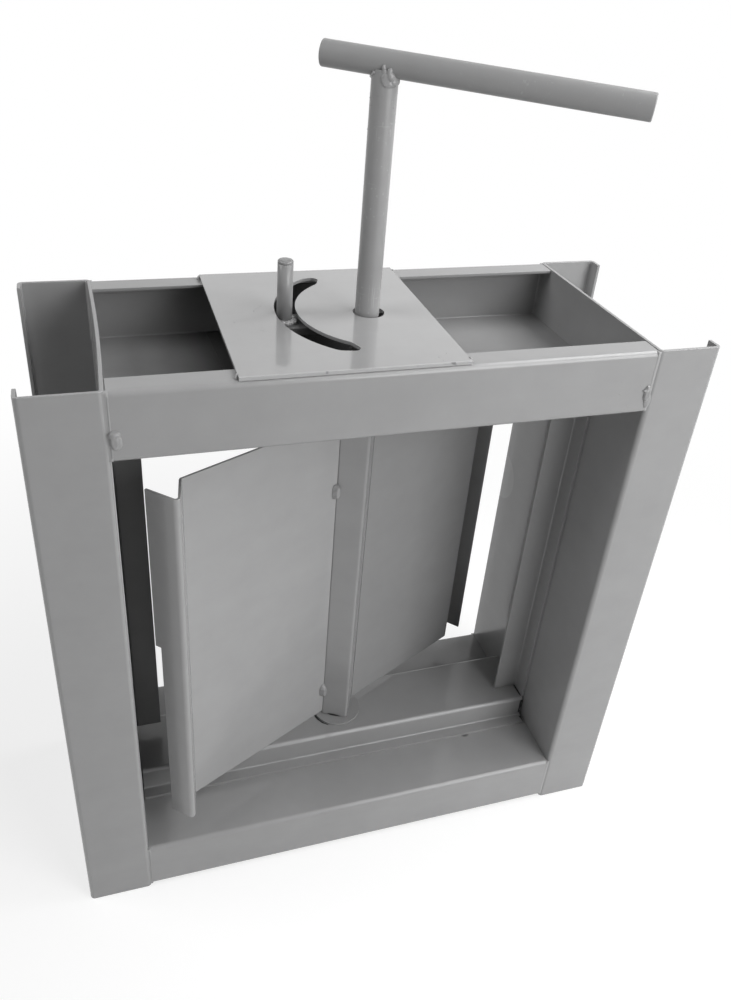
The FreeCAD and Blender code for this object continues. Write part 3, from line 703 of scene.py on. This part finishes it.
# Under the plate the pin and the shaft are welded to the crank. The pin's
# bead is heaped up in lumps that show through the slot.
pin_drops, pin_foot = [], 383.0
dice = random.Random(11)
for i in range(13):
    a = 2 * math.pi * i / 13
    far = pin_r / MM + dice.uniform(0.3, 1.6)
    place = (pin_x / MM + far * math.cos(a), pin_y / MM + far * math.sin(a), pin_foot)
    size = dice.uniform(1.3, 2.1)
    pin_drops.append((place, (size, size, dice.uniform(1.2, 1.6))))
lay_weld("pin_weld", "blade", 4, pin_drops, rounds=2)
lay_weld("crank_weld", "blade", 5)
lay_weld("tube_weld", "blade", 6)


# The handle is welded on by a few thick drops that climb from the shaft's
# front to the bar, and by a thin run round the rest of the saddle joint.
bar_way, bar_middle = math.radians(-34), 518.6
handle_drops = [((-2.8, -5.7, 517.1), (1.1, 1.0, 1.7)), ((-2.2, -5.7, 515.0), (1.6, 1.2, 1.8))]
handle_drops += [((-0.1, -7.3, 515.6), (1.5, 1.2, 2.0)), ((0.6, -7.2, 513.4), (2.0, 1.4, 2.0))]
handle_drops += [((-0.8, -6.0, 512.0), (3.4, 1.7, 3.6)), ((2.2, -5.9, 511.2), (3.2, 1.7, 3.4))]
handle_drops += [((0.4, -6.1, 509.6), (3.8, 1.4, 2.2)), ((3.9, -5.6, 511.2), (2.0, 1.6, 2.4))]
for i in range(48):
    a = 2 * math.pi * i / 48
    across = 7.0 * math.sin(a - bar_way)
    under = bar_middle - math.sqrt(max(6.6 ** 2 - across ** 2, 2.0))
    facing = math.cos(a + math.radians(125))
    if under > 515.5 or facing > 0.9:
        continue
    size = dice.uniform(0.85, 1.15)
    place = (6.75 * math.cos(a), 6.75 * math.sin(a), under - 0.2)
    handle_drops.append((place, (size, size, size * dice.uniform(1.0, 1.2))))
lay_weld("handle_weld", "blade", 7, handle_drops, bare=True, grain=0.00025, rounds=6)


# Spatter: weld grains that stuck to the sheet and bar near the beads and were
# painted over. They are strewn over small patches of the surface.
grains = bpy.data.node_groups.new("strewn_grains", "GeometryNodeTree")
for title, kind in (
    ("Geometry", "NodeSocketGeometry"),
    ("Grains per square metre", "NodeSocketFloat"),
    ("Smallest", "NodeSocketFloat"),
    ("Largest", "NodeSocketFloat"),
    ("Seed", "NodeSocketInt"),
    ("Enamel", "NodeSocketMaterial"),
):
    grains.interface.new_socket(title, in_out="INPUT", socket_type=kind)
grains.interface.new_socket("Geometry", in_out="OUTPUT", socket_type="NodeSocketGeometry")
start = grains.nodes.new("NodeGroupInput")
strewn = grains.nodes.new("GeometryNodeDistributePointsOnFaces")
ball = grains.nodes.new("GeometryNodeMeshIcoSphere")
ball.inputs["Radius"].default_value = 1
ball.inputs["Subdivisions"].default_value = 2
sizes = grains.nodes.new("FunctionNodeRandomValue")
placed = grains.nodes.new("GeometryNodeInstanceOnPoints")
real = grains.nodes.new("GeometryNodeRealizeInstances")
round_off = grains.nodes.new("GeometryNodeSetShadeSmooth")
painted = grains.nodes.new("GeometryNodeSetMaterial")
end = grains.nodes.new("NodeGroupOutput")
for from_node, output, to_node, socket in (
    (start, "Geometry", strewn, "Mesh"),
    (start, "Grains per square metre", strewn, "Density"),
    (start, "Seed", strewn, "Seed"),
    (start, "Smallest", sizes, 2),
    (start, "Largest", sizes, 3),
    (start, "Seed", sizes, "Seed"),
    (strewn, "Points", placed, "Points"),
    (ball, "Mesh", placed, "Instance"),
    (sizes, 1, placed, "Scale"),
    (placed, "Instances", real, "Geometry"),
    (real, "Geometry", round_off, "Geometry"),
    (round_off, "Geometry", painted, "Geometry"),
    (start, "Enamel", painted, "Material"),
    (painted, "Geometry", end, 0),
):
    grains.links.new(from_node.outputs[output], to_node.inputs[socket])


def strew(name, body, patches, density, smallest, largest, seed):
    """patches are four-cornered bits of surface, in mm."""
    bm = bmesh.new()
    for patch in patches:
        bm.faces.new([bm.verts.new([MM * n for n in corner]) for corner in patch])
    holder = bpy.data.objects.new(name + "_patch", mesh_of(bm, name + "_patch"))
    scene.collection.objects.link(holder)
    scatter = holder.modifiers.new("grains", "NODES")
    scatter.node_group = grains
    values = (density, smallest, largest, seed, weld_enamel)
    inputs = [item for item in grains.interface.items_tree if item.in_out == "INPUT"]
    for item, value in zip(inputs[1:], values):
        scatter[item.identifier] = value
    deps = bpy.context.evaluated_depsgraph_get()
    laid = bpy.data.meshes.new_from_object(holder.evaluated_get(deps))
    bpy.data.objects.remove(holder)
    add_piece(name, laid, weld_enamel, body)


neck, neck_r, neck_low, neck_high = [], 6.95, 486, 508
for i in range(24):
    turns = (2 * math.pi * i / 24, 2 * math.pi * (i + 1) / 24)
    (x0, y0), (x1, y1) = [(neck_r * math.cos(t), neck_r * math.sin(t)) for t in turns]
    strip = [(x0, y0, neck_low), (x1, y1, neck_low), (x1, y1, neck_high), (x0, y0, neck_high)]
    neck.append(strip)
strew("shaft_spatter", "blade", neck, 40000, 0.0002, 0.00045, 2)
corners, front_face, plate_face = [], -73.5, 387
for side in (-1, 1):
    x0, x1 = sorted((side * 144, side * 128))
    around = [(x0, 350), (x1, 350), (x1, 372), (x0, 372)]
    corners.append([(x, front_face, z) for x, z in around])
for x0, x1, y0, y1 in ((-78, -56, -22, 18), (8, 34, -70, -60)):
    corners.append([(x, y, plate_face) for x, y in ((x0, y0), (x1, y0), (x1, y1), (x0, y1))])
strew("frame_spatter", "frame", corners, 16000, 0.00015, 0.00035, 3)
